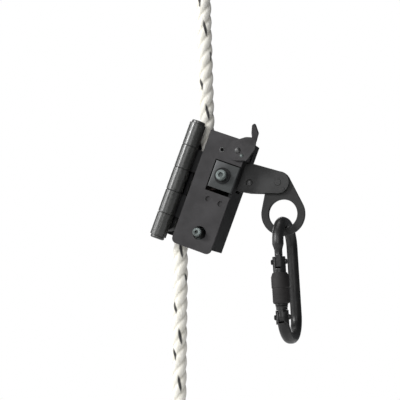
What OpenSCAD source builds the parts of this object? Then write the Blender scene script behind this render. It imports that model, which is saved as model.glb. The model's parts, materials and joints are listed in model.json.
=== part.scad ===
// Openable rope grab on a twisted anchor rope: a hinged barrel body, a toothed cam with a pull
// lever, an eye plate and an oval screw-gate carabiner.
// Millimetres. +Z up, +X towards the lever, +Y from the front cover to the back plate.
// The origin is the centre of the round thimble eye at the rope's top end.
// Inside device() the axes are u (across), y (depth) and w (along the hinge barrel), with
// u = w = 0 on the cam bolt and y = 0 on the cover's front face.

/* [Rope] */
// Diameter of the three-strand rope
rope_d = 13.5; // [13:0.1:13.6]
// Bore of the round thimble at the top end
thimble_bore_d = 28; // [20:1:30]
// Thickness of the thimble
thimble_w = 17; // [15:0.5:20]
// Wall of the sleeve over the splice
splice_wall = 2.2; // [1.5:0.1:4]
// Length of the cap on the rope's lower end
end_cap_len = 27; // [20:1:40]

/* [Body shell] */
// Sheet thickness of the body shell
sheet_t = 3; // [2:0.5:3]
// Depth from the cover's front face to the back of the shell
shell_depth = 44; // [41:0.5:46]
// Top edge of the shell, measured along the barrel
shell_top = 38.4; // [37:0.5:39]
// Bottom edge of the shell, measured along the barrel
shell_bottom = -68.5; // [-70:0.5:-68]
// Outer face of the right wall, across from the cam bolt
shell_right = 13.5; // [13.5:0.5:15]

/* [Hinge barrel] */
// Outer radius of the barrel's knuckles
barrel_r = 7.8; // [7:0.1:8]
// Length of one knuckle with its gap
knuckle_pitch = 22.3; // [22:0.1:22.5]
// Gap between two knuckles
knuckle_gap = 0.6; // [0.5:0.1:1]
// Radius of the hinge pin
hinge_pin_r = 3.5; // [2.5:0.1:4]

/* [Front cover] */
// Thickness of the front cover
cover_t = 3; // [2:0.5:3]
// Left edge of the cover
cover_left = -26; // [-27:0.5:-24]
// Top edge of the cover
cover_top = 37.5; // [36:0.5:38]
// Bottom edge of the cover
cover_bottom = -73.5; // [-74:0.5:-72]

/* [Cam and lever] */
// Radius of the cam bolt's shank
cam_bolt_r = 3; // [2.5:0.1:3.5]
// Radius of the toothed face about its own centre
cam_r = 18.8; // [18:0.1:18.8]
// Number of teeth on the cam
cam_teeth = 13; // [9:1:15]
// Thickness of each arm plate
arm_t = 3; // [2:0.5:3]
// Radius of the arm's round end
arm_end_r = 10.4; // [9.5:0.1:10.8]
// Thickness of the eye plate
eye_t = 5.4; // [4:0.1:5.4]
// Radius of the hole in the eye plate
eye_hole_r = 13.6; // [12.5:0.1:14]
// Outer radius of the eye plate's ring
eye_outer_r = 20.4; // [19:0.1:21]

/* [Carabiner] */
// Radius of the carabiner's rod
rod_r = 5.2; // [4.8:0.1:5.3]
// Distance from the gate's axis to the spine's axis
carabiner_w = 49.6; // [48:0.1:52]
// Distance between the axes of the top and bottom bars
carabiner_h = 106.5; // [106:0.5:110]
// Radius of the corners, at the rod's axis
carabiner_corner = 22; // [20:0.5:22]
// Outer radius of the screw sleeve
sleeve_r = 8.2; // [8:0.1:8.4]

/* [Hidden] */
$fn = 48;

// Colours
charcoal = [0.27, 0.26, 0.27];
near_black = [0.12, 0.12, 0.13];
olive_black = [0.20, 0.20, 0.18];
zinc = [0.62, 0.66, 0.64];
spring_grey = [0.45, 0.45, 0.46];
rope_white = [0.90, 0.88, 0.83];

// The device leans on the rope by three across in eight up.
tilt = atan(3 / 8);
device_at = [23.5, -20.5, -260];
rope_y = 20.5;
rope_u = -24;
rope_r = rope_d / 2;

// Barrel: five knuckles, the first at the top. The shell has 1, 3 and 5, the cover 2 and 4.
barrel_at = [-41, 4.5];
barrel_top = 38.7;
pin_bore_r = hinge_pin_r + 0.05;
pin_head_r = 6.6;
pin_head_t = 2.4;
pin_seat = knuckle_gap / 2 - 0.1;
hinge_washer_t = knuckle_gap - 0.2;
hinge_washer_r = barrel_r - 0.9;
shell_left = barrel_at[0] - barrel_r;
wall_front = 3.4;
left_wall_front = barrel_at[1] + barrel_r + 0.7;
back_inner = shell_depth - sheet_t;

// Keeper tab, folded from the right wall over the cam bolt
tab_left = -10.8;
tab_top = 12;
tab_bottom = -13;
tab_front = -0.8;
tab_t = 3;

// Slot in the right wall for the lever arm
arm_slot = [[13.5, 27.5], [-10.5, 31]];

// Rope shoe
shoe_face = rope_u - rope_r - 0.5;
shoe_left = shell_left + sheet_t;
shoe_y = [13.2, 27.8];
shoe_w = [-66, 12];
shoe_rivet_w = [0, -54];
shoe_rivet_r = 2;

// Cam
cam_centre = [2, -8];
cam_y = [14, 27];
core_y = [17.7, 23.3];
tooth_depth = 1;
bush_r = 5;
bush_bore_r = bush_r + 0.05;
arm_rivet_at = [22.3, 2.8];

// Lever arm: pivot, knee and end, drawn across and along the barrel
knee_at = [22, 7.2];
knee_r = 13.6;
arm_end = [47.7, 11.8];
front_plate_y = 14.5;
back_plate_y = 26.5 - arm_t;
stop_pin_r = 1.5;
stop_pin_at = [4.8, -6.4];
stop_pin_radius = norm(stop_pin_at);
eye_rivet_r = 3;

// Eye plate, hanging from the arm's end in the upright frame
eye_swing = [-25, 35];
eye_centre = [3.9, -29.1];
eye_y = rope_y - eye_t / 2;

// Lower guide bolt and roller
guide_at = [-3.6, -57];
guide_bolt_r = 2.5;
spacer_r = 4.2;
roller_y = [13.5, 27.5];
roller_mid_r = 11.9;
roller_rim_r = 13.7;
guide_hole_r = 6.3;

// Cover window round the keeper tab, and the leaves that join the cover to its knuckles
window_left = -11.7;
window_top = 13;
window_bottom = -17;
leaf_y = [8.6, 11.6];
leaf_inset = 2.5;
dimple_r = 2.6;
dimple_depth = 1.4;
sight_hole_at = [-9, 22.8];
sight_hole_r = 1.9;

// Latch
latch_at = [5.7, 26.7];
latch_y = -2.9;
latch_t = 2.5;
latch_rivet_r = 2;
latch_stud_at = [11.2, 23.2];
latch_stud_r = 1.1;

// Carabiner, drawn with its top bar's centre at the origin, gate at -y
carabiner_lean = -3.2;
carabiner_turn = -4;
carabiner_shift = 0.3;
bar_gap = 0.4;
half_w = carabiner_w / 2;
corner_y = half_w - carabiner_corner;
nose_z = -32.5;
neck_z = -27;
nose_r = 3.6;
catch_z = -38;
gate_hinge_z = -88;
fork_r = 5.9;
gate_end_gap = 6.6;
gate_slot_r = 6.5;
tongue_half = 2.3;
cheek_in = 2.6;
gate_pin_r = 1.7;
gate_pin_len = 14.6;
gate_spring_y = 3.2 - half_w;
sleeve_z = [-75.7, -47.8];
sleeve_bore_r = fork_r + 0.3;

// Rope, its thimble and sleeve
thimble_groove_r = 20;
splice_z = [-83.5, -63];
tail_x = 13.8;
end_cap_z = -499;
rope_end_z = -492;
rope_sides = 10;
rope_steps = 2;
// Points that the rope's axis passes through, as [x, z]: the tail inside the sleeve, the loop
// round the thimble, the upper run, the straight stretch in the device and the lower run.
rope_route = [
    [13.8, -82], [13.8, -70], [13.9, -58], [16, -46], [21.5, -32], [26, -17], [27.4, -3],
    [25.5, 10], [19.4, 19.4], [10, 25.6], [0, 27.5], [-10, 25.6], [-19.4, 19.4],
    [-25.5, 10], [-27.4, -3], [-25.4, -17], [-18.5, -31], [-9, -44], [-1.6, -56],
    [0, -68], [0, -82], [0.6, -110], [1.6, -145], [2.6, -180], [3.6, -215],
    [4.2, -231], [3.6, -242], [1, -251.5], [-5, -267.5], [-11, -283.5], [-17, -299.5],
    [-21.2, -312], [-22.6, -325], [-22.8, -350], [-23.2, -385], [-23.6, -425],
    [-24, -460], [-24, -492]
];

// Placement

module device() {
    translate(device_at) rotate([0, tilt, 0]) children();
}

// Upright frame with its origin on the pivot at the arm's end
module arm_end_frame() {
    device() translate([arm_end[0], 0, arm_end[1]]) rotate([0, -tilt, 0]) children();
}

module carabiner_frame() {
    arm_end_frame()
        translate([
            eye_centre[0] + carabiner_shift,
            rope_y,
            eye_centre[1] - eye_hole_r + rod_r + bar_gap
        ])
        rotate([0, 0, carabiner_turn]) rotate([0, carabiner_lean, 0]) children();
}

// Shared shapes

// Extrudes a flat shape drawn in across and along from y0 to y1
module slab(y0, y1) {
    translate([0, y1, 0]) rotate([90, 0, 0]) linear_extrude(y1 - y0) children();
}

module rod_y(at, y0, y1, r) {
    translate([at[0], y1, at[1]]) rotate([90, 0, 0]) cylinder(h = y1 - y0, r = r);
}

module rod_x(y, z, length, r) {
    translate([-length / 2, y, z]) rotate([0, 90, 0]) cylinder(h = length, r = r);
}

module tube_y(at, y0, y1, r, bore) {
    difference() {
        rod_y(at, y0, y1, r);
        rod_y(at, y0 - 1, y1 + 1, bore);
    }
}

// Rectangle from low to high with one radius at its corners
module rounded_box(low, high, r) {
    translate([low[0] + r, low[1]]) square([high[0] - low[0] - 2 * r, high[1] - low[1]]);
    translate([low[0], low[1] + r]) square([high[0] - low[0], high[1] - low[1] - 2 * r]);
    for (x = [low[0] + r, high[0] - r])
        for (y = [low[1] + r, high[1] - r])
            translate([x, y]) circle(r);
}

// Low dome along y: a cylinder step with a spherical cap, facing -y from y0
module rivet_head(at, y0, r, h) {
    cap_r = (r * r + h * h) / (2 * h);
    translate([at[0], y0, at[1]])
        rotate([90, 0, 0])
        rotate_extrude()
        intersection() {
            translate([0, h - cap_r]) circle(cap_r);
            square([r, h]);
        }
}

function knuckle_z(i) = barrel_top - knuckle_pitch * i;

// The outer cylinder of knuckle i, counted from 0 at the top
module knuckle(i) {
    translate([barrel_at[0], barrel_at[1], knuckle_z(i + 1) + knuckle_gap / 2])
        cylinder(h = knuckle_pitch - knuckle_gap, r = barrel_r);
}

module pin_bore() {
    translate([barrel_at[0], barrel_at[1], knuckle_z(5) - 5])
        cylinder(h = 5 * knuckle_pitch + 10, r = pin_bore_r);
}

// Wire swept round a helix along z, as one closed mesh
module coil(r, wire_r, turns, length) {
    per_turn = 16;
    sides = 6;
    rings = ceil(turns * per_turn);
    slope = atan(length / (turns * 2 * PI * r));
    function ring_point(i, k) =
        let (
            a = 360 * turns * i / rings,
            b = 360 * k / sides,
            out = r + wire_r * cos(b),
            rise = wire_r * sin(b)
        )
        [
            out * cos(a) + rise * sin(slope) * sin(a),
            out * sin(a) - rise * sin(slope) * cos(a),
            length * i / rings + rise * cos(slope)
        ];
    points = [for (i = [0 : rings]) for (k = [0 : sides - 1]) ring_point(i, k)];
    walls = [
        for (i = [0 : rings - 1]) for (k = [0 : sides - 1])
            let (n = (k + 1) % sides)
            each [
                [i * sides + k, i * sides + n, (i + 1) * sides + n],
                [i * sides + k, (i + 1) * sides + n, (i + 1) * sides + k]
            ]
    ];
    first = [for (k = [sides - 1 : -1 : 0]) k];
    last = [for (k = [0 : sides - 1]) rings * sides + k];
    polyhedron(points, concat([first], walls, [last]), convexity = 10);
}

// Body shell and its fixed pieces

module shell_section() {
    difference() {
        rounded_box([shell_left, -30], [shell_right, shell_depth], 4);
        rounded_box([shell_left + sheet_t, -40], [shell_right - sheet_t, back_inner], 1.5);
        translate([shell_left - 1, -31])
            square([shell_right - shell_left - sheet_t, 31 + left_wall_front]);
        translate([shell_right - 10, -31]) square([11, 31 + wall_front]);
    }
}

module keeper_section() {
    difference() {
        rounded_box([tab_left, tab_front], [shell_right, tab_front + 12], 1.4);
        translate([tab_left - 1, tab_front + tab_t])
            square([shell_right - sheet_t - tab_left + 1, 12]);
    }
}

module shell_knuckle(i) {
    knuckle(i);
    translate([shell_left, barrel_at[1], knuckle_z(i + 1) + knuckle_gap / 2])
        cube([sheet_t, 14, knuckle_pitch - knuckle_gap]);
}

module body_shell() color(near_black) device() difference() {
    union() {
        translate([0, 0, shell_bottom])
            linear_extrude(shell_top - shell_bottom) shell_section();
        translate([0, 0, tab_bottom]) linear_extrude(tab_top - tab_bottom) keeper_section();
        for (i = [0, 2, 4]) shell_knuckle(i);
    }
    pin_bore();
    translate([shell_right - sheet_t - 1, arm_slot[0][0], arm_slot[1][0]])
        cube([sheet_t + 2, arm_slot[0][1] - arm_slot[0][0], arm_slot[1][1] - arm_slot[1][0]]);
    rod_y([0, 0], -5, shell_depth + 5, cam_bolt_r + 0.1);
    rod_y(guide_at, 20, shell_depth + 5, guide_bolt_r + 0.1);
    shoe_rivet_holes();
}

module hinge_pin() color(olive_black) device()
    translate([barrel_at[0], barrel_at[1], 0])
    rotate_extrude()
    polygon([
        [0, knuckle_z(5) - 0.3 - pin_head_t],
        [pin_head_r - 0.8, knuckle_z(5) - 0.3 - pin_head_t],
        [pin_head_r, knuckle_z(5) - 0.3 - pin_head_t + 0.8],
        [pin_head_r, knuckle_z(5) + pin_seat],
        [hinge_pin_r, knuckle_z(5) + pin_seat],
        [hinge_pin_r, knuckle_z(0) - pin_seat],
        [pin_head_r, knuckle_z(0) - pin_seat],
        [pin_head_r, knuckle_z(0) + 0.3 + pin_head_t - 0.8],
        [pin_head_r - 0.8, knuckle_z(0) + 0.3 + pin_head_t],
        [0, knuckle_z(0) + 0.3 + pin_head_t]
    ]);

// Thin washers between the knuckles
module hinge_washers() color(near_black) device() for (i = [1 : 4])
    translate([barrel_at[0], barrel_at[1], knuckle_z(i) - hinge_washer_t / 2])
    difference() {
        cylinder(h = hinge_washer_t, r = hinge_washer_r);
        translate([0, 0, -1]) cylinder(h = hinge_washer_t + 2, r = pin_bore_r);
    }

module rope_shoe() color(spring_grey) device() difference() {
    slab(shoe_y[0], shoe_y[1]) difference() {
        rounded_box([shoe_left - 30, shoe_w[0]], [shoe_face, shoe_w[1]], 10);
        translate([shoe_left - 31, shoe_w[0] - 1])
            square([31, shoe_w[1] - shoe_w[0] + 2]);
        rounded_box([shoe_left + 3, shoe_w[0] + 3], [shoe_face - 3, shoe_w[1] - 3], 4);
    }
    shoe_rivet_holes();
}

module shoe_rivet_holes() {
    for (w = shoe_rivet_w)
        translate([shell_left - 1, rope_y, w]) rotate([0, 90, 0])
            cylinder(h = 2 * sheet_t + 1.5, r = shoe_rivet_r + 0.05);
}

module shoe_rivets() color(near_black) device() for (w = shoe_rivet_w)
    translate([shell_left, rope_y, w]) rotate([0, 90, 0]) {
        translate([0, 0, -1.8]) cylinder(h = 1.8, r = 3.8);
        cylinder(h = 2 * sheet_t + 0.1, r = shoe_rivet_r);
        translate([0, 0, 2 * sheet_t + 0.02]) cylinder(h = 1.2, r = 3.2);
    }

// Cam bolt and the pieces on it

module socket_bolt(at, head_front, head_back, head_r, shank_r, end) {
    difference() {
        union() {
            rod_y(at, head_front + 0.7, head_back, head_r);
            rod_y(at, head_front, head_front + 0.8, head_r - 0.7);
            rod_y(at, head_back - 0.1, end, shank_r);
        }
        translate([at[0], head_front - 1, at[1]])
            rotate([-90, 0, 0]) cylinder(h = 4, r = head_r * 0.5, $fn = 6);
    }
}

module hex_nut(at, y0, y1, r, bore) {
    difference() {
        translate([at[0], y1, at[1]]) rotate([90, 0, 0]) cylinder(h = y1 - y0, r = r, $fn = 6);
        rod_y(at, y0 - 1, y1 + 1, bore);
    }
}

module cam_bolt() color(zinc) device()
    socket_bolt([0, 0], -8, tab_front - 1.5, 5, cam_bolt_r, shell_depth + 8);

module cam_washers() color(near_black) device() {
    tube_y([0, 0], tab_front - 1.5, tab_front, 7.6, cam_bolt_r + 0.1);
    tube_y([0, 0], shell_depth, shell_depth + 1.5, 7, cam_bolt_r + 0.1);
}

module cam_bush() color(zinc) device()
    tube_y([0, 0], tab_front + tab_t, back_inner, bush_r, cam_bolt_r + 0.05);

module cam_spring() color(spring_grey) device()
    translate([0, 13.2, 0]) rotate([90, 0, 0]) coil(7.4, 0.9, 4.5, 9);

module cam_nut() color(zinc) device()
    hex_nut([0, 0], shell_depth + 1.5, shell_depth + 6.5, 5.8, cam_bolt_r + 0.02);

// Guide bolt, roller and their small pieces

module guide_bolt() color(zinc) device()
    socket_bolt(guide_at, -7, -2.4, 3.9, guide_bolt_r, shell_depth + 6);

module guide_spacer() color(near_black) device()
    tube_y(guide_at, -2.4, back_inner, spacer_r, guide_bolt_r + 0.05);

module guide_washers() color(zinc) device() {
    tube_y(guide_at, roller_y[0] - 1.3, roller_y[0] - 0.3, 7, spacer_r + 0.02);
    tube_y(guide_at, roller_y[1] + 0.3, roller_y[1] + 1.3, 7, spacer_r + 0.02);
}

module guide_roller() color(spring_grey) device()
    translate([guide_at[0], roller_y[1], guide_at[1]])
    rotate([90, 0, 0])
    rotate_extrude()
    polygon([
        [spacer_r + 0.06, 0], [roller_rim_r, 0], [roller_rim_r, 1], [roller_mid_r, 5],
        [roller_mid_r, 9], [roller_rim_r, 13], [roller_rim_r, 14], [spacer_r + 0.06, 14]
    ]);

module guide_nut() color(zinc) device()
    hex_nut(guide_at, shell_depth, shell_depth + 4.5, 4.6, guide_bolt_r + 0.02);

// Front cover and latch

module cover_outline() {
    difference() {
        union() {
            rounded_box([cover_left, cover_bottom], [shell_right, 0], 5);
            rounded_box([cover_left, -30], [shell_right, cover_top], 1.2);
        }
        translate([window_left, window_bottom])
            square([shell_right + 15, window_top - window_bottom]);
        translate([guide_at[0] + 1, guide_at[1]]) circle(guide_hole_r);
        translate(latch_at) circle(latch_rivet_r + 0.05);
        translate(sight_hole_at) circle(sight_hole_r);
    }
}

// Turned-back edge of the cover, with rounded corners like the front
module cover_flange() {
    translate([cover_left, 0.5, cover_bottom + 5])
        cube([cover_t, leaf_y[1] - 0.5, cover_top - cover_bottom - 6.5]);
}

// Hinge leaf from the flange to knuckle i
module cover_knuckle(i) {
    knuckle(i);
    translate([barrel_at[0] + leaf_inset, leaf_y[0], knuckle_z(i + 1) + knuckle_gap / 2])
        cube([
            cover_left - barrel_at[0] - leaf_inset + 1,
            leaf_y[1] - leaf_y[0],
            knuckle_pitch - knuckle_gap
        ]);
}

module front_cover() color(charcoal) device() difference() {
    union() {
        slab(0, cover_t) cover_outline();
        cover_flange();
        for (i = [1, 3]) cover_knuckle(i);
    }
    pin_bore();
    for (at = [[-5.7, -24.4], [6.9, -25.2]]) rod_y(at, -1, dimple_depth, dimple_r);
}

module latch_rivet() color(zinc) device() {
    rivet_head(latch_at, latch_y - 0.1, 2.9, 1.9);
    rod_y(latch_at, latch_y - 0.2, 6.6, latch_rivet_r);
    rod_y(latch_at, 5.6, 6.8, 3.4);
}

module latch_spring() color(spring_grey) device()
    translate([latch_at[0], 5.2, latch_at[1]]) rotate([90, 0, 0]) coil(2.9, 0.3, 2, 1.7);

module latch_outline() {
    hull() {
        translate(latch_at) circle(9.6, $fn = 32);
        translate([12.5, 33.4]) circle(8.1, $fn = 32);
        translate([16.2, 39.4]) circle(3.2, $fn = 32);
        translate([14.3, 23.4]) circle(3.6, $fn = 32);
    }
}

// Leaf-shaped thumb ear, bent towards the front from the latch's top
module latch_ear() {
    translate([0, latch_y + latch_t, 41]) rotate([35, 0, 0])
        slab(-latch_t, 0)
        hull() {
            translate([17.8, -0.5]) circle(1.7, $fn = 32);
            translate([16.9, 7.6]) circle(3.2, $fn = 32);
            translate([14.7, 14.6]) circle(1.7, $fn = 32);
        }
}

module latch_lever() color(charcoal) device() difference() {
    union() {
        slab(latch_y, latch_y + latch_t) latch_outline();
        latch_ear();
        translate([14.3, latch_y, 19.8]) cube([2.5, 12, 5.2]);
    }
    rod_y(latch_at, -20, 10, latch_rivet_r + 0.05);
    rod_y(latch_stud_at, -20, 10, latch_stud_r + 0.05);
}

// Small riveted stud on the latch
module latch_stud() color(zinc) device() {
    rivet_head(latch_stud_at, latch_y, 1.8, 1);
    rod_y(latch_stud_at, latch_y - 0.1, latch_y + latch_t, latch_stud_r);
}

// Lever: cam, two arm plates and their rivets

module cam_teeth_outline() {
    teeth_arc = [138, 214];
    step = (teeth_arc[1] - teeth_arc[0]) / (2 * cam_teeth);
    outer = [
        for (i = [0 : 2 * cam_teeth])
            let (a = teeth_arc[0] + i * step, r = cam_r - (i % 2 == 0 ? tooth_depth : 0))
            [cam_centre[0] + r * cos(a), cam_centre[1] + r * sin(a)]
    ];
    inner = [
        for (i = [8 : -1 : 0])
            let (a = teeth_arc[0] + i * (teeth_arc[1] - teeth_arc[0]) / 8)
            [cam_centre[0] + 9 * cos(a), cam_centre[1] + 9 * sin(a)]
    ];
    polygon(concat(outer, inner));
}

module toothed_cam() color(spring_grey) device() difference() {
    union() {
        slab(core_y[0], core_y[1]) {
            cam_teeth_outline();
            circle(10);
            hull() {
                circle(7, $fn = 32);
                translate(arm_rivet_at) circle(6, $fn = 32);
            }
        }
        slab(cam_y[0], cam_y[1]) difference() {
            cam_teeth_outline();
            circle(10.7);
        }
    }
    rod_y([0, 0], 0, 40, bush_bore_r);
    rod_y(arm_rivet_at, 0, 40, 2.55);
}

module arm_plate(y0) {
    difference() {
        slab(y0, y0 + arm_t) hull() {
            circle(10, $fn = 32);
            translate(knee_at) circle(knee_r, $fn = 32);
            translate(arm_end) circle(arm_end_r, $fn = 32);
        }
        rod_y([0, 0], 0, 40, bush_bore_r);
        rod_y(arm_rivet_at, 0, 40, 2.55);
        rod_y(arm_end, 0, 40, eye_rivet_r + 0.05);
        translate([arm_end[0], 0, arm_end[1]]) rotate([0, -tilt, 0])
            rod_y(stop_pin_at, 0, 40, stop_pin_r + 0.05);
    }
}

module arm_front_plate() color(charcoal) device() arm_plate(front_plate_y);

module arm_back_plate() color(charcoal) device() arm_plate(back_plate_y);

module arm_rivet() color(charcoal) device() {
    rivet_head(arm_rivet_at, front_plate_y, 3.3, 2.3);
    rod_y(arm_rivet_at, front_plate_y - 0.1, back_plate_y + arm_t + 0.1, 2.5);
    rod_y(arm_rivet_at, back_plate_y + arm_t, back_plate_y + arm_t + 1.4, 3.3);
}

module eye_rivet() color(spring_grey) device() {
    rod_y(arm_end, front_plate_y - 0.5, back_plate_y + arm_t + 0.5, eye_rivet_r);
}

module stop_pin() color(spring_grey) arm_end_frame()
    rod_y(stop_pin_at, front_plate_y - 0.4, back_plate_y + arm_t + 0.4, stop_pin_r);

// Eye plate with its arc slot for the stop pin

// Points of an arc about a centre, from angle a to angle b
function arc(centre, r, a, b, steps) = [
    for (i = [0 : steps])
        let (t = a + (b - a) * i / steps)
        [centre[0] + r * cos(t), centre[1] + r * sin(t)]
];

module arc_slot(y0, y1) {
    middle = atan2(stop_pin_at[1], stop_pin_at[0]);
    low = middle - eye_swing[1] - 1;
    high = middle - eye_swing[0] + 1;
    half = stop_pin_r + 0.3;
    low_end = stop_pin_radius * [cos(low), sin(low)];
    high_end = stop_pin_radius * [cos(high), sin(high)];
    slab(y0, y1) polygon(concat(
        arc([0, 0], stop_pin_radius + half, low, high, 16),
        arc(high_end, half, high + 20, high + 160, 7),
        arc([0, 0], stop_pin_radius - half, high, low, 16),
        arc(low_end, half, low + 200, low + 340, 7)
    ));
}

module eye_plate() color(charcoal) arm_end_frame() difference() {
    slab(eye_y, eye_y + eye_t) hull() {
        circle(10.8, $fn = 48);
        translate(eye_centre) circle(eye_outer_r, $fn = 64);
    }
    rod_y(eye_centre, 0, 40, eye_hole_r);
    rod_y([0, 0], 0, 40, eye_rivet_r + 0.05);
    arc_slot(10, 30);
}

// Carabiner

// A quarter bend of the rod about the corner centre [y, z], from angle a
module rod_corner(y, z, a) {
    translate([0, y, z]) rotate([0, 90, 0]) rotate([0, 0, a])
        rotate_extrude(angle = 90) translate([carabiner_corner, 0]) circle(rod_r);
}

module rod_z(y, z0, z1, r) {
    translate([0, y, z0]) cylinder(h = z1 - z0, r = r);
}

// A short stretch that narrows between two radii
module rod_taper(y, z0, z1, r0, r1) {
    translate([0, y, z0]) cylinder(h = z1 - z0, r1 = r0, r2 = r1);
}

module nose_tongue() {
    difference() {
        translate([-tongue_half, -half_w - 4.2, nose_z - 10])
            cube([2 * tongue_half, 8.4, 10.5]);
        rod_x(-half_w, catch_z, 20, gate_pin_r + 0.35);
        translate([-5, -half_w, catch_z - gate_pin_r - 0.35])
            cube([10, 10, 2 * gate_pin_r + 0.7]);
    }
}

module carabiner_body() color(near_black) carabiner_frame() {
    bottom = carabiner_corner - carabiner_h;
    difference() {
        union() {
            rod_corner(-corner_y, -carabiner_corner, 180);
            rod_corner(corner_y, -carabiner_corner, 90);
            rod_corner(corner_y, bottom, 0);
            rod_corner(-corner_y, bottom, 270);
            for (z = [0, -carabiner_h])
                translate([0, corner_y, z]) rotate([90, 0, 0]) cylinder(h = 2 * corner_y, r = rod_r);
            rod_z(half_w, bottom, -carabiner_corner, rod_r);
            rod_taper(-half_w, neck_z, -carabiner_corner, nose_r, rod_r);
            rod_z(-half_w, nose_z, neck_z, nose_r);
            nose_tongue();
            intersection() {
                rod_x(-half_w, gate_hinge_z, 20, gate_end_gap - 0.25);
                rod_z(-half_w, gate_hinge_z - 9, gate_hinge_z + 9, fork_r);
            }
        }
        rod_x(-half_w, gate_hinge_z, 20, gate_pin_r + 0.05);
        rod_x(-half_w, gate_hinge_z, 2 * cheek_in, gate_slot_r);
        translate([-cheek_in, -half_w - 10, gate_hinge_z]) cube([2 * cheek_in, 20, 11]);
    }
}

module pin_with_heads(z) {
    rod_x(-half_w, z, gate_pin_len, gate_pin_r);
    for (side = [-1, 1])
        translate([side * (fork_r + 0.75), 0, 0]) rod_x(-half_w, z, 1.3, gate_pin_r + 0.7);
}

module gate_hinge_pin() color(spring_grey) carabiner_frame() pin_with_heads(gate_hinge_z);

module gate_catch_pin() color(spring_grey) carabiner_frame() pin_with_heads(catch_z);

module gate() color(near_black) carabiner_frame() difference() {
    union() {
        rod_z(-half_w, -46.5, nose_z - 0.9, fork_r);
        rod_z(-half_w, -77, -46.4, fork_r - 0.1);
        rod_z(-half_w, gate_hinge_z + gate_end_gap, -76.9, rod_r);
        intersection() {
            translate([-tongue_half, -half_w - 5, gate_hinge_z - 5])
                cube([2 * tongue_half, 10, 12]);
            union() {
                rod_x(-half_w, gate_hinge_z, 10, 4.9);
                rod_z(-half_w, gate_hinge_z, gate_hinge_z + 8, 4.9);
            }
        }
    }
    translate([-cheek_in, -half_w - 10, nose_z - 11.6]) cube([2 * cheek_in, 14.6, 13]);
    rod_x(-half_w, catch_z, 20, gate_pin_r + 0.02);
    rod_x(-half_w, gate_hinge_z, 20, gate_pin_r + 0.05);
    rod_z(gate_spring_y, gate_hinge_z - 6, -66, 1.15);
}

module gate_spring() color(spring_grey) carabiner_frame()
    translate([0, gate_spring_y, gate_hinge_z - 3]) coil(0.75, 0.28, 8, 24.5);

module lock_sleeve() color(olive_black) carabiner_frame()
    translate([0, -half_w, 0])
    rotate_extrude()
    polygon([
        [sleeve_bore_r, sleeve_z[0]],
        [sleeve_r - 1.2, sleeve_z[0]],
        [sleeve_r - 0.4, sleeve_z[0] + 1.5],
        [sleeve_r - 0.4, sleeve_z[0] + 13.5],
        [sleeve_r, sleeve_z[0] + 14.2],
        [sleeve_r, sleeve_z[1] - 4],
        [sleeve_r - 1.6, sleeve_z[1]],
        [sleeve_bore_r, sleeve_z[1]]
    ]);

// Rope, thimble, splice sleeve and end cap

module anchor_thimble() color(zinc)
    rotate([90, 0, 0])
    rotate_extrude()
    difference() {
        translate([thimble_bore_d / 2, -thimble_w / 2])
            square([25.5 - thimble_bore_d / 2, thimble_w]);
        translate([thimble_groove_r + rope_r + 0.4, 0]) circle(rope_r + 0.5);
    }

module splice_sleeve() color(near_black)
    translate([0, 0, splice_z[0]])
    linear_extrude(splice_z[1] - splice_z[0])
    difference() {
        rounded_box(
            [-rope_r - splice_wall, -rope_r - splice_wall],
            [tail_x + rope_r + splice_wall, rope_r + splice_wall],
            rope_r + splice_wall - 0.01
        );
        rounded_box([-rope_r - 0.4, -rope_r - 0.4], [tail_x + rope_r + 0.4, rope_r + 0.4], rope_r);
    }

// Centripetal spline through the route's points
function knot(a, b) = sqrt(norm(b - a));

function on_spline(p0, p1, p2, p3, t) =
    let (
        d0 = knot(p0, p1),
        d1 = knot(p1, p2),
        d2 = knot(p2, p3),
        m1 = ((p1 - p0) / d0 - (p2 - p0) / (d0 + d1) + (p2 - p1) / d1) * d1,
        m2 = ((p2 - p1) / d1 - (p3 - p1) / (d1 + d2) + (p3 - p2) / d2) * d1
    )
    (2 * t^3 - 3 * t^2 + 1) * p1 + (t^3 - 2 * t^2 + t) * m1
    + (3 * t^2 - 2 * t^3) * p2 + (t^3 - t^2) * m2;

function spline(route, steps) =
    let (
        n = len(route),
        ends = concat([2 * route[0] - route[1]], route, [2 * route[n - 1] - route[n - 2]])
    )
    concat(
        [for (i = [0 : n - 2]) for (k = [0 : steps - 1])
            on_spline(ends[i], ends[i + 1], ends[i + 2], ends[i + 3], k / steps)],
        [route[n - 1]]
    );

module rope() {
    line = spline(rope_route, rope_steps);
    last = len(line) - 1;
    function along(i) =
        let (d = line[min(i + 1, last)] - line[max(i - 1, 0)])
        d / norm(d);
    points = [
        for (i = [0 : last]) for (k = [0 : rope_sides - 1])
            let (side = [-along(i)[1], along(i)[0]], a = 360 * k / rope_sides)
            [
                line[i][0] + rope_r * cos(a) * side[0],
                rope_r * sin(a),
                line[i][1] + rope_r * cos(a) * side[1]
            ]
    ];
    walls = [
        for (i = [0 : last - 1]) for (k = [0 : rope_sides - 1])
            let (n = (k + 1) % rope_sides)
            [
                i * rope_sides + n, i * rope_sides + k,
                (i + 1) * rope_sides + k, (i + 1) * rope_sides + n
            ]
    ];
    first = [for (k = [0 : rope_sides - 1]) k];
    end = [for (k = [rope_sides - 1 : -1 : 0]) last * rope_sides + k];
    color(rope_white) polyhedron(points, concat([first], walls, [end]), convexity = 10);
}

module rope_end_cap() color(near_black)
    translate([-24, 0, end_cap_z])
    difference() {
        cylinder(h = end_cap_len, r = rope_r + 1.6);
        translate([0, 0, rope_end_z - end_cap_z - 0.05])
            cylinder(h = end_cap_len, r = rope_r + 0.3);
    }

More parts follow.
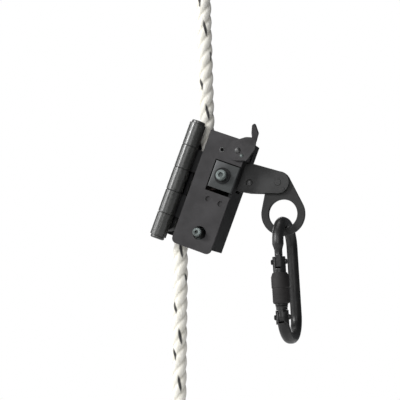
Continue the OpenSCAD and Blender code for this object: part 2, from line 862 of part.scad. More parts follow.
body_shell();
hinge_pin();
hinge_washers();
rope_shoe();
shoe_rivets();
cam_bolt();
cam_washers();
cam_bush();
cam_spring();
cam_nut();
guide_bolt();
guide_spacer();
guide_washers();
guide_roller();
guide_nut();
front_cover();
latch_rivet();
latch_spring();
latch_lever();
latch_stud();
toothed_cam();
arm_front_plate();
arm_back_plate();
arm_rivet();
eye_rivet();
stop_pin();
eye_plate();
carabiner_body();
gate_hinge_pin();
gate();
gate_catch_pin();
gate_spring();
lock_sleeve();
anchor_thimble();
splice_sleeve();
rope();
rope_end_cap();
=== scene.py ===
"""An openable rope grab on its anchor rope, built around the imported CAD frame. Metres."""
import json
import math

import bmesh
import bpy
from mathutils import Matrix, Vector


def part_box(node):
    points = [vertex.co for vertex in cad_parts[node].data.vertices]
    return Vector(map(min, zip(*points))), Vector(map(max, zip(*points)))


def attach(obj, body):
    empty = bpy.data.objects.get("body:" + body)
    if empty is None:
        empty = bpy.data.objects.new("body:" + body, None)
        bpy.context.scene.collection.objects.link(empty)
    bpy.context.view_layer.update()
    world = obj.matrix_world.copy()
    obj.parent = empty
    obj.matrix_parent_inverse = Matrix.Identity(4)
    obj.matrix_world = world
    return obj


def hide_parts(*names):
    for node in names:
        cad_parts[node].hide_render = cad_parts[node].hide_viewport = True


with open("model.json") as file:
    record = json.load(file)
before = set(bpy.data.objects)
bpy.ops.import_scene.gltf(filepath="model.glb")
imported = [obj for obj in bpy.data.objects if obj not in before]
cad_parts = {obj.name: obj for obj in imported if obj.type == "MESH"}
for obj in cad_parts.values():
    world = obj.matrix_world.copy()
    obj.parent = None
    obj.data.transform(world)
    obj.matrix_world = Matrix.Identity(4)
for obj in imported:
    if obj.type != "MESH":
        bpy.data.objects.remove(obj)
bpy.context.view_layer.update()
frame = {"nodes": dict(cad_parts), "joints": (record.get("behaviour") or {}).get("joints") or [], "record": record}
MM = 0.001
TAU = 2 * math.pi
JOINTS = {joint["name"]: joint for joint in frame["joints"]}
BODY_OF = {
    node: body for body, nodes in frame["record"]["behaviour"]["bodies"].items() for node in nodes
}
# The device's own axes: u across, y depth, w along the barrel, from the front of the cam bolt
DEVICE = Matrix.Translation((23.5 * MM, -20.5 * MM, -260 * MM)) @ Matrix.Rotation(
    math.atan2(3, 8), 4, "Y"
)


# Camera, stage and light

def aim(thing, target):
    """Turns a camera or a light so that it looks at target."""
    thing.rotation_euler = (Vector(target) - thing.location).to_track_quat("-Z", "Y").to_euler()


def add_camera():
    """The view is from the front, 15 degrees round to the right and 6.5 degrees from below."""
    azimuth, elevation = math.radians(15), math.radians(-6.5)
    data = bpy.data.cameras.new("camera")
    data.sensor_width = 36
    data.lens = 112.5
    data.clip_start = 0.05
    camera = bpy.data.objects.new("camera", data)
    camera.location = (0.3000, -1.1336, -0.4131)
    camera.rotation_euler = (math.pi / 2 - elevation, 0, azimuth)
    bpy.context.scene.collection.objects.link(camera)
    bpy.context.scene.camera = camera


def add_light(name, at, target, width, height, power):
    data = bpy.data.lights.new(name, "AREA")
    data.shape = "RECTANGLE"
    data.size = width
    data.size_y = height
    data.energy = power
    lamp = bpy.data.objects.new(name, data)
    lamp.location = at
    bpy.context.scene.collection.objects.link(lamp)
    aim(lamp, target)


def add_world():
    """A bright backdrop for the eye and a softer, greyer room for the light."""
    world = bpy.data.worlds.new("studio")
    world.use_nodes = True
    nodes, links = world.node_tree.nodes, world.node_tree.links
    nodes.clear()
    output = nodes.new("ShaderNodeOutputWorld")
    mix = nodes.new("ShaderNodeMixShader")
    path = nodes.new("ShaderNodeLightPath")
    room = nodes.new("ShaderNodeBackground")
    backdrop = nodes.new("ShaderNodeBackground")
    room.inputs["Color"].default_value = (0.80, 0.82, 0.86, 1)
    room.inputs["Strength"].default_value = 0.13
    backdrop.inputs["Color"].default_value = (1, 1, 1, 1)
    backdrop.inputs["Strength"].default_value = 1.0
    links.new(path.outputs["Is Camera Ray"], mix.inputs[0])
    links.new(room.outputs[0], mix.inputs[1])
    links.new(backdrop.outputs[0], mix.inputs[2])
    links.new(mix.outputs[0], output.inputs["Surface"])
    bpy.context.scene.world = world


def add_stage():
    """A plain pale round floor just under the rope's end."""
    radius = 0.75
    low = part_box("rope_end_cap")[0]
    sides = 96
    mesh = bpy.data.meshes.new("floor")
    ring = [
        (radius * math.cos(TAU * i / sides), radius * math.sin(TAU * i / sides), low.z - 0.004)
        for i in range(sides)
    ]
    mesh.from_pydata(ring, [], [list(range(sides))])
    floor = bpy.data.objects.new("floor", mesh)
    bpy.context.scene.collection.objects.link(floor)
    shader = Shader("floor_pale")
    shader.set("Base Color", (0.86, 0.86, 0.86, 1))
    shader.set("Roughness", 0.9)
    floor.data.materials.append(shader.material)


# Materials

class Shader:
    """A node material with short names for what this scene does with nodes."""

    def __init__(self, name):
        self.material = bpy.data.materials.new(name)
        self.material.use_nodes = True
        self.tree = self.material.node_tree
        self.tree.nodes.clear()
        self.output = self.tree.nodes.new("ShaderNodeOutputMaterial")
        self.bsdf = self.tree.nodes.new("ShaderNodeBsdfPrincipled")
        self.link(self.bsdf.outputs[0], self.output.inputs["Surface"])
        self.coordinates = None

    def link(self, start, end):
        self.tree.links.new(start, end)

    def set(self, socket, value):
        self.bsdf.inputs[socket].default_value = value

    def feed(self, socket, output):
        self.link(output, self.bsdf.inputs[socket])

    def node(self, kind, **settings):
        made = self.tree.nodes.new(kind)
        for key, value in settings.items():
            setattr(made, key, value)
        return made

    def place(self, scale=(1, 1, 1)):
        """Object coordinates, stretched."""
        if self.coordinates is None:
            self.coordinates = self.node("ShaderNodeTexCoord").outputs["Object"]
        mapping = self.node("ShaderNodeMapping")
        mapping.inputs["Scale"].default_value = scale
        self.link(self.coordinates, mapping.inputs["Vector"])
        return mapping.outputs[0]

    def attribute(self, name, output="Fac"):
        """A value stored on the mesh's points."""
        return self.node("ShaderNodeAttribute", attribute_name=name).outputs[output]

    def noise(self, vector, scale, detail=4.0, roughness=0.55):
        made = self.node("ShaderNodeTexNoise")
        made.inputs["Scale"].default_value = scale
        made.inputs["Detail"].default_value = detail
        made.inputs["Roughness"].default_value = roughness
        self.link(vector, made.inputs["Vector"])
        return made.outputs["Fac"]

    def span(self, value, low, high, to_low=0.0, to_high=1.0):
        """Maps low..high to to_low..to_high, clamped."""
        made = self.node("ShaderNodeMapRange")
        for index, number in zip((1, 2, 3, 4), (low, high, to_low, to_high)):
            made.inputs[index].default_value = number
        self.link(value, made.inputs[0])
        return made.outputs[0]

    def math(self, operation, first, second):
        made = self.node("ShaderNodeMath", operation=operation)
        for index, value in enumerate((first, second)):
            if isinstance(value, (int, float)):
                made.inputs[index].default_value = value
            else:
                self.link(value, made.inputs[index])
        return made.outputs[0]

    def mix(self, amount, first, second):
        """Mixes two colours, each a tuple or an output."""
        made = self.node("ShaderNodeMix", data_type="RGBA")
        self.link(amount, made.inputs["Factor"])
        for socket, value in ((made.inputs[6], first), (made.inputs[7], second)):
            if isinstance(value, tuple):
                socket.default_value = value
            else:
                self.link(value, socket)
        return made.outputs[2]

    def along(self, axis, start, end):
        """0 at the point start to 1 at the point end, measured along a fixed axis."""
        dot = self.node("ShaderNodeVectorMath", operation="DOT_PRODUCT")
        self.link(self.place(), dot.inputs[0])
        dot.inputs[1].default_value = axis
        return self.span(dot.outputs["Value"], start.dot(axis), end.dot(axis))

    def edges(self, radius):
        """1 on outer edges, 0 on flat faces."""
        bevel = self.node("ShaderNodeBevel", samples=6)
        bevel.inputs["Radius"].default_value = radius
        geometry = self.node("ShaderNodeNewGeometry")
        dot = self.node("ShaderNodeVectorMath", operation="DOT_PRODUCT")
        self.link(bevel.outputs[0], dot.inputs[0])
        self.link(geometry.outputs["Normal"], dot.inputs[1])
        return self.span(dot.outputs["Value"], 0.995, 0.80)

    def bump(self, height, strength, distance):
        made = self.node("ShaderNodeBump")
        made.inputs["Strength"].default_value = strength
        made.inputs["Distance"].default_value = distance
        self.link(height, made.inputs["Height"])
        self.feed("Normal", made.outputs[0])


def grey(value, warm=0.0):
    """A grey with a little warmth, or coolness when negative."""
    return (value * (1 + warm), value, value * (1 - warm), 1)


def painted(name, colour, roughness, wear, dust, shine, peel=0.5, painted_highlight_span=None):
    """Powder coat or lacquer over steel: fine peel, faint mottling, worn edges and light dust.

    The last argument, if given, is (start, end) in the device's axes, in mm: a painted highlight on the coat,
    palest at start, where the light falls, and gone by end."""
    shader = Shader(name)
    wide = shader.noise(shader.place(), 55, 3)
    fine = shader.noise(shader.place(), 1500, 2)
    grain = shader.noise(shader.place(), 420, 5, 0.65)
    lighter = tuple(min(1, c * 1.25 + 0.002) for c in colour[:3]) + (1,)
    darker = tuple(c * 0.80 for c in colour[:3]) + (1,)
    base = shader.mix(shader.span(wide, 0.35, 0.65), darker, lighter)
    # Painted highlight: the coat turns pale grey towards start, standing in for light falling on that side.
    if painted_highlight_span:
        start, end = (DEVICE @ (Vector(point) * MM) for point in painted_highlight_span)
        base = shader.mix(shader.along((end - start).normalized(), end, start), base, grey(0.10, -0.03))
    dusty = shader.mix(shader.span(grain, 0.56, 0.78, 0, dust), base, grey(0.14, 0.03))
    worn = shader.math("MULTIPLY", shader.edges(0.0006), shader.span(grain, 0.40, 0.62, 0, wear))
    bare = shader.mix(worn, dusty, grey(0.20, 0.02))
    shader.feed("Base Color", bare)
    shader.feed("Metallic", shader.math("MULTIPLY", worn, 0.6))
    shader.feed("Roughness", shader.span(grain, 0.3, 0.7, roughness - 0.06, roughness + 0.10))
    shader.set("Specular IOR Level", shine)
    shader.bump(fine, peel, 0.00004)
    return shader.material


def plated(name, colour, roughness, stain):
    """Zinc or bare steel: fine grain, cloudy stains and bright edges."""
    shader = Shader(name)
    cloud = shader.noise(shader.place(), 160, 4)
    grain = shader.noise(shader.place(), 1300, 3)
    pale = tuple(min(1, c * 1.15) for c in colour[:3]) + (1,)
    base = shader.mix(shader.span(cloud, 0.38, 0.66), stain, colour)
    bright = shader.mix(shader.edges(0.0004), base, pale)
    shader.feed("Base Color", bright)
    shader.set("Metallic", 0.7)
    shader.feed("Roughness", shader.span(cloud, 0.3, 0.7, roughness + 0.14, roughness - 0.04))
    shader.bump(grain, 0.45, 0.00003)
    return shader.material


def moulded(name, colour, roughness):
    """Heat-shrunk or moulded plastic with a fine pebble and dull scuffs."""
    shader = Shader(name)
    pebble = shader.noise(shader.place(), 1100, 2)
    scuff = shader.noise(shader.place((1, 1, 0.25)), 300, 5, 0.7)
    shader.feed("Base Color", shader.mix(shader.span(scuff, 0.5, 0.75, 0, 0.5), colour, grey(0.10)))
    shader.feed("Roughness", shader.span(scuff, 0.3, 0.7, roughness - 0.1, roughness + 0.12))
    shader.bump(pebble, 0.5, 0.00006)
    return shader.material


def twisted_fibre(name):
    """Rope yarn: off-white fibres along the rope, shade in the grooves and a black tracer yarn."""
    shader = Shader(name)
    along = shader.attribute("fibre", "Vector")
    hair = shader.noise(along, 2600, 3, 0.6)
    yarn = shader.noise(along, 900, 2, 0.5)
    soil = shader.noise(shader.place(), 45, 4)
    groove = shader.attribute("groove")
    tracer = shader.attribute("tracer")
    clean = shader.mix(shader.span(yarn, 0.35, 0.68), (0.76, 0.735, 0.655, 1), (0.89, 0.875, 0.82, 1))
    soiled = shader.mix(shader.span(soil, 0.5, 0.8, 0, 0.35), clean, (0.66, 0.62, 0.52, 1))
    shaded = shader.mix(shader.span(groove, 0.35, 1.0, 0, 0.75), soiled, (0.42, 0.40, 0.33, 1))
    dark = shader.mix(shader.span(hair, 0.4, 0.7), (0.012, 0.012, 0.012, 1), (0.05, 0.048, 0.046, 1))
    shader.feed("Base Color", shader.mix(tracer, shaded, dark))
    shader.set("Roughness", 0.82)
    shader.set("Sheen Weight", 0.25)
    shader.set("Sheen Roughness", 0.5)
    shader.bump(shader.math("ADD", shader.math("MULTIPLY", yarn, 2.0), hair), 0.9, 0.00016)
    return shader.material


# Pieces

def add_detail(name, mesh, material, node, smooth=30):
    """Adds a piece that rides with a CAD node. smooth is the sharpest smoothed angle."""
    mesh.materials.append(material)
    piece = bpy.data.objects.new(name, mesh)
    bpy.context.scene.collection.objects.link(piece)
    for face in mesh.polygons:
        face.use_smooth = True
        face.material_index = 0
    mesh.set_sharp_from_angle(angle=math.radians(smooth))
    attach(piece, BODY_OF[node])
    return piece


def add_piece(name, mesh, material, node, smooth=35):
    """Adds a piece that stands for a CAD node."""
    piece = add_detail(name, mesh, material, node, smooth)
    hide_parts(node)
    return piece


def tidy_copy(node):
    """A copy of a CAD node's mesh with flat faces joined up, ready for rounding."""
    shape = bmesh.new()
    shape.from_mesh(frame["nodes"][node].data)
    bmesh.ops.remove_doubles(shape, verts=shape.verts, dist=0.000004)
    bmesh.ops.dissolve_limit(
        shape, angle_limit=math.radians(0.4), verts=shape.verts, edges=shape.edges
    )
    bmesh.ops.recalc_face_normals(shape, faces=shape.faces)
    mesh = bpy.data.meshes.new(node + "_shown")
    shape.to_mesh(mesh)
    shape.free()
    return mesh


def dress(node, material, edge):
    """Shows a CAD node with its sharp edges rounded by edge, in metres."""
    piece = add_piece(node + "_shown", tidy_copy(node), material, node)
    if edge:
        rounding = piece.modifiers.new("rounding", "BEVEL")
        rounding.width = edge
        rounding.segments = 2
        rounding.limit_method = "ANGLE"
        rounding.angle_limit = math.radians(38)
        rounding.harden_normals = True
        rounding.use_clamp_overlap = True
    return piece


def paint_region(piece, material, inside):
    """Gives a second material to the faces whose centre, as (u, y, w) in mm, is inside."""
    to_device = DEVICE.inverted()
    piece.data.materials.append(material)
    for face in piece.data.polygons:
        if inside(*(to_device @ face.center / MM)):
            face.material_index = len(piece.data.materials) - 1


def axes_from(point, direction, across):
    """A matrix whose Z runs along direction from point, with X near across."""
    z = Vector(direction).normalized()
    y = z.cross(Vector(across)).normalized()
    x = y.cross(z)
    turn = Matrix((x, y, z)).transposed().to_4x4()
    return Matrix.Translation(Vector(point)) @ turn


def reach(node, axes):
    """(lowest, highest) place along the axes' Z, and the largest radius, of a CAD node."""
    inverse = axes.inverted()
    points = [inverse @ v.co for v in frame["nodes"][node].data.vertices]
    return (
        min(p.z for p in points),
        max(p.z for p in points),
        max(math.hypot(p.x, p.y) for p in points),
    )


def tube_walls(rings, sides):
    """The quads between rings of points, each ring with the same number of sides."""
    return [
        (r * sides + i, r * sides + (i + 1) % sides, (r + 1) * sides + (i + 1) % sides, (r + 1) * sides + i)
        for r in range(rings - 1)
        for i in range(sides)
    ]


def lathe(name, rings, axes, sides, shape=None):
    """A surface of revolution through (radius, height) rings; shape can change the radius."""
    verts = []
    for radius, height in rings:
        for i in range(sides):
            angle = TAU * i / sides
            extra = shape(angle, height) if shape else 0.0
            at = Vector(((radius + extra) * math.cos(angle), (radius + extra) * math.sin(angle), height))
            verts.append(axes @ at)
    faces = tube_walls(len(rings), sides)
    closed = rings[0] == rings[-1]
    if not closed:
        faces.append(tuple(range(sides))[::-1])
        faces.append(tuple((len(rings) - 1) * sides + i for i in range(sides)))
    mesh = bpy.data.meshes.new(name)
    mesh.from_pydata(verts, [], faces)
    welded = bmesh.new()
    welded.from_mesh(mesh)
    bmesh.ops.remove_doubles(welded, verts=welded.verts, dist=0.000002)
    bmesh.ops.recalc_face_normals(welded, faces=welded.faces)
    welded.to_mesh(mesh)
    welded.free()
    return mesh


# The rope

ROPE_D = 13.5 * MM
LAY = 41 * MM
STRANDS = 3
CREST = 1.04 * ROPE_D / 2
FIBRE_LEAN = 0.2
FIBRE_STRETCH = 0.09
ROPE_STEP = 1.1 * MM
ROPE_SIDES = 60
# The CAD rope's own route, as (x, z) in millimetres at y = 0
ROPE_ROUTE = [
    (13.8, -82), (13.8, -70), (13.9, -58), (16, -46), (21.5, -32), (26, -17), (27.4, -3),
    (25.5, 10), (19.4, 19.4), (10, 25.6), (0, 27.5), (-10, 25.6), (-19.4, 19.4),
    (-25.5, 10), (-27.4, -3), (-25.4, -17), (-18.5, -31), (-9, -44), (-1.6, -56),
    (0, -68), (0, -82), (0.6, -110), (1.6, -145), (2.6, -180), (3.6, -215),
    (4.2, -231), (3.6, -242), (1, -251.5), (-5, -267.5), (-11, -283.5), (-17, -299.5),
    (-21.2, -312), (-22.6, -325), (-22.8, -350), (-23.2, -385), (-23.6, -425),
    (-24, -460), (-24, -492),
]
FRONT = Vector((0, -1, 0))


def spline(route, steps):
    """Centripetal spline through the route, as in the CAD."""
    points = [Vector((x * MM, 0, z * MM)) for x, z in route]
    ends = [2 * points[0] - points[1]] + points + [2 * points[-1] - points[-2]]
    line = []
    for p0, p1, p2, p3 in zip(ends, ends[1:], ends[2:], ends[3:]):
        d0, d1, d2 = (math.sqrt((b - a).length) for a, b in ((p0, p1), (p1, p2), (p2, p3)))
        m1 = ((p1 - p0) / d0 - (p2 - p0) / (d0 + d1) + (p2 - p1) / d1) * d1
        m2 = ((p2 - p1) / d1 - (p3 - p1) / (d1 + d2) + (p3 - p2) / d2) * d1
        for k in range(steps):
            t = k / steps
            line.append(
                (2 * t**3 - 3 * t**2 + 1) * p1
                + (t**3 - 2 * t**2 + t) * m1
                + (3 * t**2 - 2 * t**3) * p2
                + (t**3 - t**2) * m2
            )
    line.append(points[-1])
    return line


def even_steps(line, gap):
    """The same line with points about gap apart, and the line's length."""
    total = sum((b - a).length for a, b in zip(line, line[1:]))
    count = max(2, round(total / gap))
    made = [line[0].copy()]
    passed, index = 0.0, 0
    for k in range(1, count):
        want = total * k / count
        while passed + (line[index + 1] - line[index]).length < want:
            passed += (line[index + 1] - line[index]).length
            index += 1
        part = (want - passed) / (line[index + 1] - line[index]).length
        made.append(line[index].lerp(line[index + 1], part))
    made.append(line[-1].copy())
    return made, total


def strand_radius(angle):
    """Outer radius of the laid strands at an angle from a strand's crest."""
    middle = 0.31 * ROPE_D / 2
    strand = CREST - middle
    near = (angle + TAU / 6) % (TAU / STRANDS) - TAU / 6
    return middle * math.cos(near) + math.sqrt(strand**2 - (middle * math.sin(near)) ** 2)


# The black yarn's marks step round the rope's front in threes. Each place is an angle in
# degrees from +X towards the front, and half the length that shows in mm
MARK_STEP = 27
MARK_PLACES = [(118, 5.5), (70, 7), (22, 4.5)]
# Stretches with evenly spaced marks: first distance along in mm, first place, and how many
MARK_RUNS = [(239, 2, 10), (508.5, 1, 4), (606, 0, 3)]
LOOP_MARKS = 9
LOOP_MARK_STEP = 26
LOOP_MARK_ANGLES = (138, 88, 40)
LOOP_MARK_HALF = 5
BACK_MARK_SHIFT = 13 * MM
MARK_HALF_WIDTH = 1.4 * MM


def tracer_marks():
    """(distance along, angle, half length) of each mark, also round the loop and at the back."""
    marks = [
        (first + MARK_STEP * n, *MARK_PLACES[(place + n) % len(MARK_PLACES)])
        for first, place, count in MARK_RUNS
        for n in range(count)
    ]
    marks += [
        (LOOP_MARK_STEP * (n + 0.5), LOOP_MARK_ANGLES[n % len(LOOP_MARK_ANGLES)], LOOP_MARK_HALF)
        for n in range(LOOP_MARKS)
    ]
    front = [(s * MM, math.radians(angle), half * MM) for s, angle, half in marks]
    back = [(s + BACK_MARK_SHIFT, angle + math.pi, half) for s, angle, half in front]
    return front + back


def add_rope():
    line, length = even_steps(spline(ROPE_ROUTE, 16), ROPE_STEP)
    gap = length / (len(line) - 1)
    sides = ROPE_SIDES
    marks = tracer_marks()
    verts, fibre, groove, tracer = [], [], [], []
    for i, at in enumerate(line):
        ahead = line[min(i + 1, len(line) - 1)] - line[max(i - 1, 0)]
        side = FRONT.cross(ahead.normalized())
        s = i * gap
        close = [m for m in marks if abs(m[0] - s) < 1.3 * m[2]]
        for k in range(sides):
            angle = TAU * k / sides
            radius = strand_radius(angle - TAU * s / LAY)
            verts.append(at + radius * (math.cos(angle) * side + math.sin(angle) * FRONT))
            lean = angle + FIBRE_LEAN * s / CREST
            fibre.append((radius * math.cos(lean), radius * math.sin(lean), s * FIBRE_STRETCH))
            groove.append(min(1.0, (CREST - radius) / (0.22 * CREST)))
            dark = 0.0
            for centre, turn, half in close:
                across = (lean - turn - FIBRE_LEAN * centre / CREST + math.pi) % TAU - math.pi
                away = math.hypot((s - centre) / half, across * radius / MARK_HALF_WIDTH)
                dark = max(dark, min(1.0, max(0.0, (1.25 - away) / 0.4)))
            tracer.append(dark)
    faces = [
        (
            i * sides + (k + 1) % sides,
            i * sides + k,
            (i + 1) * sides + k,
            (i + 1) * sides + (k + 1) % sides,
        )
        for i in range(len(line) - 1)
        for k in range(sides)
    ]
    faces.append(tuple(range(sides)))
    faces.append(tuple((len(line) - 1) * sides + k for k in reversed(range(sides))))
    mesh = bpy.data.meshes.new("rope_shown")
    mesh.from_pydata(verts, [], faces)
    mesh.attributes.new("fibre", "FLOAT_VECTOR", "POINT").data.foreach_set(
        "vector", [c for v in fibre for c in v]
    )
    mesh.attributes.new("groove", "FLOAT", "POINT").data.foreach_set("value", groove)
    mesh.attributes.new("tracer", "FLOAT", "POINT").data.foreach_set("value", tracer)
    rope = add_piece("rope_shown", mesh, twisted_fibre("rope_yarn"), "rope", 60)


# Springs, sleeve and gate

def add_coil(node, material, start, axis, radius, wire, turns, length):
    """A round wire wound on a helix, for a spring."""
    axes = axes_from(start, axis, (1, 0, 0))
    steps = int(turns * 40)
    sides = 10
    slope = math.atan2(length, turns * TAU * radius)
    verts = []
    for i in range(steps + 1):
        a = TAU * turns * i / steps
        for k in range(sides):
            b = TAU * k / sides
            out = radius + wire * math.cos(b)
            rise = wire * math.sin(b)
            lean = rise * math.sin(slope)
            verts.append(axes @ Vector((
                out * math.cos(a) + lean * math.sin(a),
                out * math.sin(a) - lean * math.cos(a),
                length * i / steps + rise * math.cos(slope),
            )))
    faces = tube_walls(steps + 1, sides)
    faces.append(tuple(reversed(range(sides))))
    faces.append(tuple(steps * sides + k for k in range(sides)))
    mesh = bpy.data.meshes.new(node + "_shown")
    mesh.from_pydata(verts, [], faces)
    return add_piece(node + "_shown", mesh, material, node, 60)


def spring_like(node, material, axis, wire, turns):
    """A smooth spring along axis that fills the space of its CAD node."""
    axes = axes_from((0, 0, 0), axis, (1, 0, 0))
    points = [axes.inverted() @ v.co for v in frame["nodes"][node].data.vertices]
    low, high = (Vector([pick(p[i] for p in points) for i in range(3)]) for pick in (min, max))
    radius = (high.x - low.x) / 2 - wire
    start = axes @ Vector(((low.x + high.x) / 2, (low.y + high.y) / 2, low.z + wire))
    return add_coil(node, material, start, axis, radius, wire, turns, high.z - low.z - 2 * wire)


def gate_axes():
    """Z along the gate from its hinge, X to the front."""
    return axes_from(JOINTS["gate_swing"]["pos_m"], JOINTS["sleeve_slide"]["axis"], (0, -1, 0))


def add_lock_sleeve(material):
    """The screw sleeve: a cone at the top, a plain band and a knurled lower grip."""
    axes = gate_axes()
    low, high, radius = reach("lock_sleeve", axes)
    bore = radius - 2.0 * MM
    grip = radius - 0.4 * MM
    grip_top = low + 13.5 * MM
    rows = [(bore, low), (radius - 1.2 * MM, low), (radius - 1.0 * MM, low + 0.2 * MM)]
    rows += [(grip - 0.1 * MM, low + 1.4 * MM)]
    rows += [(grip, low + (1.8 + 0.42 * i) * MM) for i in range(28)]
    rows += [(grip - 0.15 * MM, grip_top - 0.1 * MM), (grip - 0.15 * MM, grip_top + 0.3 * MM)]
    rows += [(radius, grip_top + 0.9 * MM), (radius, high - 4 * MM)]
    rows += [(radius - 0.25 * MM, high - 3.3 * MM), (radius - 1.4 * MM, high - 0.3 * MM)]
    rows += [(radius - 1.6 * MM, high), (bore, high), (bore, low)]
    knurl_low, knurl_high = low + 1.7 * MM, grip_top - 0.4 * MM
    knurl_pitch, knurl_depth, knurl_count = 1.9 * MM, 0.16 * MM, 36

    def knurl(angle, height):
        if not knurl_low < height < knurl_high:
            return 0.0
        turn = math.pi * height / knurl_pitch
        across = knurl_count * angle
        return -knurl_depth * (1 - math.cos(across + turn) * math.cos(across - turn)) / 2

    mesh = lathe("lock_sleeve_shown", rows, axes, 216, knurl)
    return add_piece("lock_sleeve_shown", mesh, material, "lock_sleeve", 32)


def add_gate_thread(material):
    """Thread turns on the gate that show just under the screw sleeve."""
    axes = gate_axes()
    low = reach("lock_sleeve", axes)[0]
    pitch = 1.1 * MM
    rows = [(5.2 * MM, low - 3.3 * MM)]
    for i in range(6):
        base = low - 3.2 * MM + i * pitch
        rows += [(5.25 * MM, base), (5.75 * MM, base + 0.4 * pitch), (5.75 * MM, base + 0.6 * pitch)]
    rows += [(5.25 * MM, low + 3.5 * MM)]
    add_detail("gate_thread", lathe("gate_thread", rows, axes, 64), material, "gate")


def add_eyelet(material):
    """A thin rolled eyelet round the sighting hole in the cover."""
    axes = DEVICE @ axes_from((-9 * MM, 0, 22.8 * MM), (0, -1, 0), (1, 0, 0))
    bore, out = 1.55 * MM, 2.45 * MM
    rows = [(bore, -2 * MM), (bore, 0.05 * MM), (1.8 * MM, 0.34 * MM), (2.1 * MM, 0.36 * MM)]
    rows += [(out, 0.1 * MM), (out, -0.2 * MM), (1.85 * MM, -0.2 * MM), (1.85 * MM, -2 * MM)]
    rows.append(rows[0])
    add_detail("sight_hole_eyelet", lathe("sight_hole_eyelet", rows, axes, 40), material, "front_cover")


# Build

add_camera()
add_world()
add_stage()

SHELL = painted("shell_coat", grey(0.012, -0.03), 0.50, wear=0.25, dust=0.05, shine=0.15)
BARREL = painted("barrel_coat", (0.019, 0.020, 0.0175, 1), 0.30, wear=0.0, dust=0.10, shine=0.95, peel=0.1)
# The keeper tab's coat carries a painted highlight, palest at its left edge and fading out by its middle.
KEEPER = painted(
    "keeper_coat", (0.028, 0.031, 0.031, 1), 0.45,
    wear=0.3, dust=0.12, shine=0.35, painted_highlight_span=((-11, 0, 8), (0, 0, 3)),
)
COVER = painted("cover_coat", (0.0295, 0.028, 0.0295, 1), 0.55, wear=0.2, dust=0.10, shine=0.3)
ARM = painted("arm_coat", grey(0.029), 0.52, wear=0.2, dust=0.08, shine=0.3)
EYE = painted("eye_coat", grey(0.018), 0.52, wear=0.2, dust=0.06, shine=0.3)
GLOSS = painted("carabiner_coat", grey(0.011), 0.36, wear=0.1, dust=0.05, shine=0.45, peel=0.15)
OXIDE = painted("sleeve_coat", (0.020, 0.0185, 0.0185, 1), 0.6, wear=0.2, dust=0.06, shine=0.25)
ZINC = plated("zinc_plate", (0.19, 0.22, 0.215, 1), 0.42, stain=(0.10, 0.115, 0.11, 1))
STEEL = plated("plain_steel", (0.30, 0.30, 0.31, 1), 0.40, stain=(0.20, 0.19, 0.18, 1))
BROWNED = plated("browned_steel", (0.085, 0.062, 0.056, 1), 0.42, stain=(0.05, 0.036, 0.032, 1))
RIVET = plated("rivet_steel", grey(0.15), 0.36, stain=grey(0.08))
GALVANISED = plated("galvanised", (0.58, 0.60, 0.62, 1), 0.45, stain=(0.50, 0.515, 0.53, 1))
PLASTIC = moulded("shrunk_plastic", (0.018, 0.018, 0.018, 1), 0.45)

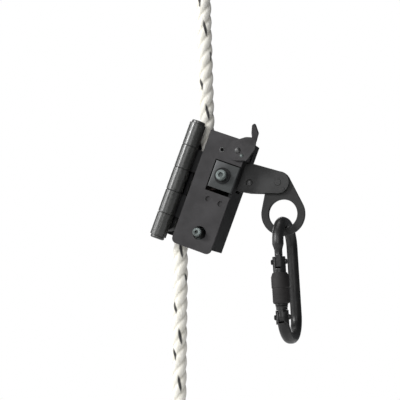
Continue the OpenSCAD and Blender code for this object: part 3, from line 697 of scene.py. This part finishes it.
pieces = {}
for node, material, edge in [
    ("body_shell", SHELL, 0.0005),
    ("hinge_pin", BARREL, 0.0004),
    ("hinge_washers", SHELL, 0.0),
    ("rope_shoe", SHELL, 0.0004),
    ("shoe_rivets", SHELL, 0.0005),
    ("cam_bolt", ZINC, 0.0003),
    ("cam_washers", SHELL, 0.0002),
    ("cam_bush", ZINC, 0.0002),
    ("cam_nut", ZINC, 0.0003),
    ("guide_bolt", ZINC, 0.0003),
    ("guide_spacer", SHELL, 0.0002),
    ("guide_washers", ZINC, 0.0002),
    ("guide_roller", STEEL, 0.0004),
    ("guide_nut", ZINC, 0.0003),
    ("front_cover", COVER, 0.0004),
    ("latch_rivet", RIVET, 0.0002),
    ("latch_lever", COVER, 0.0005),
    ("latch_stud", ZINC, 0.0002),
    ("toothed_cam", BROWNED, 0.0002),
    ("arm_front_plate", ARM, 0.0005),
    ("arm_back_plate", ARM, 0.0005),
    ("arm_rivet", RIVET, 0.0003),
    ("eye_rivet", ARM, 0.0003),
    ("stop_pin", ARM, 0.0002),
    ("eye_plate", EYE, 0.0009),
    ("carabiner_body", GLOSS, 0.0003),
    ("gate_hinge_pin", GLOSS, 0.0003),
    ("gate", GLOSS, 0.0004),
    ("gate_catch_pin", GLOSS, 0.0003),
    ("anchor_thimble", GALVANISED, 0.0008),
    ("splice_sleeve", PLASTIC, 0.0008),
    ("rope_end_cap", PLASTIC, 0.0008),
]:
    pieces[node] = dress(node, material, edge)

# Places across the device and in its depth, in mm, where one coat gives way to another, and where the hinge leaf's
# painted shade begins
BARREL_RIGHT, BARREL_BACK = -33.4, 12.6
KEEPER_LEFT, KEEPER_BACK = -12, 2.5
LEAF_RIGHT, LEAF_FRONT = -26.1, 7
paint_region(pieces["body_shell"], KEEPER, lambda u, y, w: y < KEEPER_BACK and u > KEEPER_LEFT)
for node in ("body_shell", "front_cover"):
    paint_region(pieces[node], BARREL, lambda u, y, w: u < BARREL_RIGHT and y < BARREL_BACK)
# The hinge leaf, set back in the recess behind the barrel, gets the near-black shell coat as painted shade.
paint_region(
    pieces["front_cover"], SHELL, lambda u, y, w: BARREL_RIGHT < u < LEAF_RIGHT and y > LEAF_FRONT
)

add_rope()
spring_like("cam_spring", STEEL, (0, 1, 0), 0.0009, 4.5)
spring_like("latch_spring", STEEL, (0, 1, 0), 0.0003, 2)
spring_like("gate_spring", STEEL, JOINTS["sleeve_slide"]["axis"], 0.00028, 8)
add_lock_sleeve(OXIDE)
add_gate_thread(GLOSS)
add_eyelet(RIVET)

COVER_MIDDLE = (0.02, 0, -0.28)
ARM_MIDDLE = (0.03, 0, -0.25)
add_light("key", (-1.3, -1.25, 0.60), COVER_MIDDLE, 0.55, 0.55, 30)
add_light("front_fill", (0.15, -1.9, 0.35), COVER_MIDDLE, 1.2, 1.2, 14)
add_light("left_strip", (-1.2, -0.25, -0.25), COVER_MIDDLE, 0.30, 1.2, 6)
add_light("top", (-0.2, 0.1, 1.1), ARM_MIDDLE, 0.9, 0.9, 8)
add_light("back", (-0.7, 1.4, 0.3), ARM_MIDDLE, 1.0, 1.0, 8)

view = bpy.context.scene.view_settings
view.view_transform = "Standard"
view.look = "None"
view.exposure = 0
view.gamma = 1
